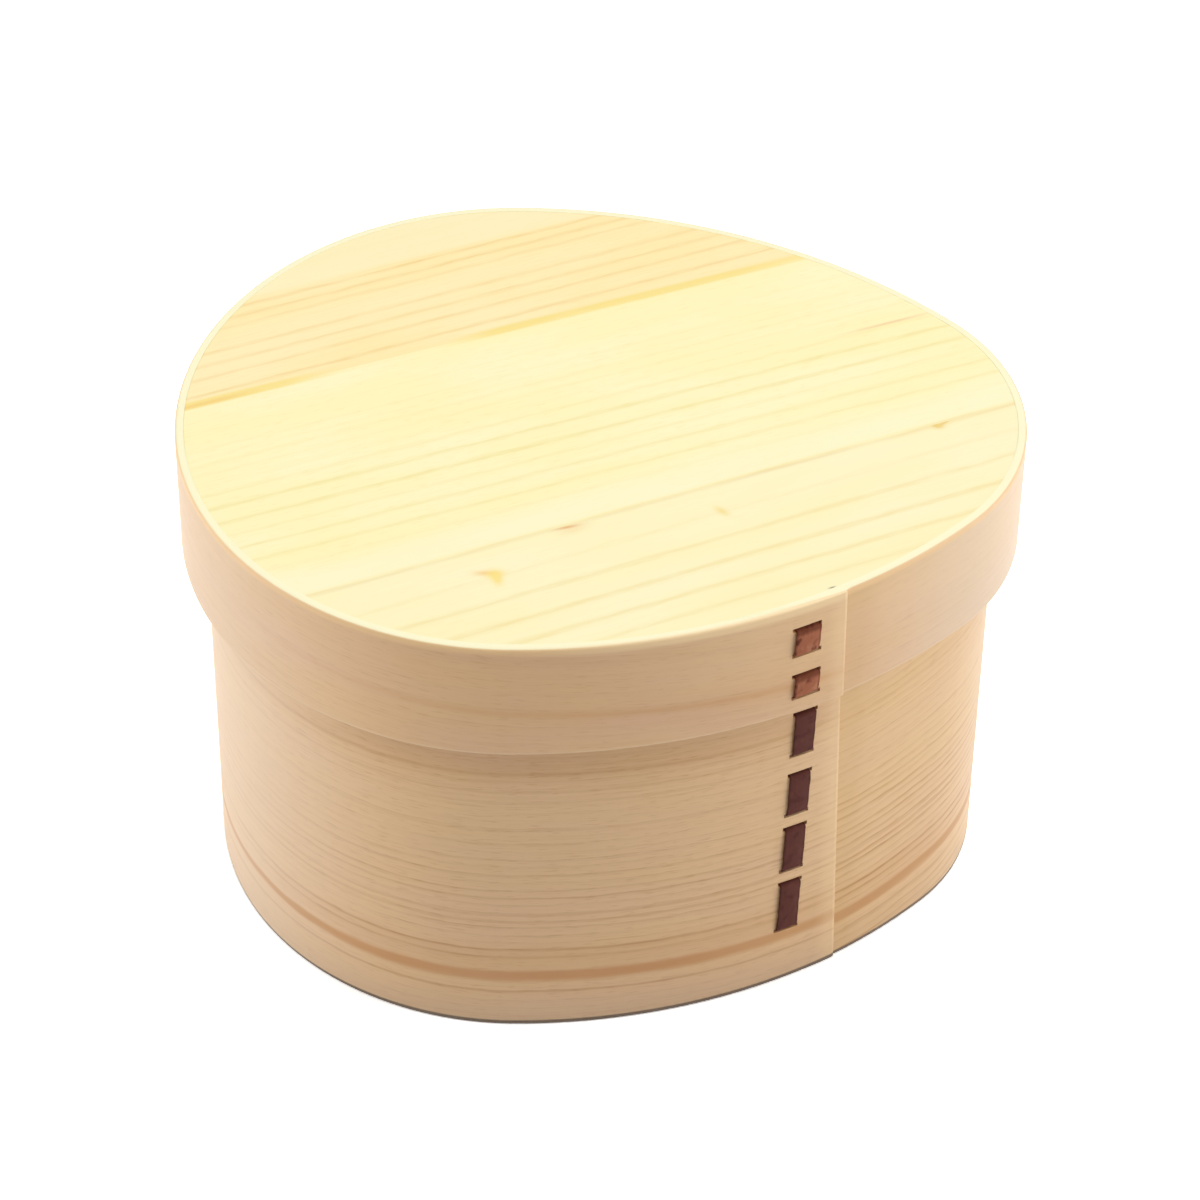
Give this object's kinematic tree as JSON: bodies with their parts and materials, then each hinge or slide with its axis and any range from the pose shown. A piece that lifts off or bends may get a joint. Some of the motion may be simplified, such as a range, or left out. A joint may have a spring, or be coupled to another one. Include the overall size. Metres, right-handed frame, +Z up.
{
  "type": "bentwood lunch box",
  "caption": "Egg-shaped bentwood lunch box with a deep body and an overlapping lid; each hoop is lapped and laced with a bark ribbon and closed by a board of edge-glued staves.",
  "frame": {"origin": "centre of the box's overall footprint, on the surface that it stands on", "axes": "+X along the long axis towards the small end, +Y from the lapped front to the plain back, +Z up"},
  "size_m": [0.1402, 0.1122, 0.0909],
  "materials": {
    "body_hoop_wood": "bare planed softwood, quarter-sawn grain along the strip, satin",
    "lid_hoop_wood": "bare planed softwood, quarter-sawn grain along the strip, satin",
    "board_wood": "bare planed softwood, straight fine grain, satin",
    "lid_back_wood": "bare planed softwood, stronger straight grain, satin",
    "body_bark": "smooth cherry bark, dark purple-brown, low sheen",
    "lid_bark": "smooth cherry bark, reddish brown, low sheen"
  },
  "bodies": {
    "box": {"body_hoop": "body_hoop_wood", "body_lacing": "body_bark", "bottom_stave_back": "board_wood", "bottom_stave_middle": "board_wood", "bottom_stave_front": "board_wood"},
    "lid": {"lid_hoop": "lid_hoop_wood", "lid_lacing": "lid_bark", "lid_stave_back": "lid_back_wood", "lid_stave_middle": "board_wood", "lid_stave_front": "board_wood"}
  },
  "joints": [
    {"name": "lid_lift", "type": "slide", "parent": "box", "child": "lid", "axis": [0, 0, 1], "range_m": [0, 0.08]}
  ]
}
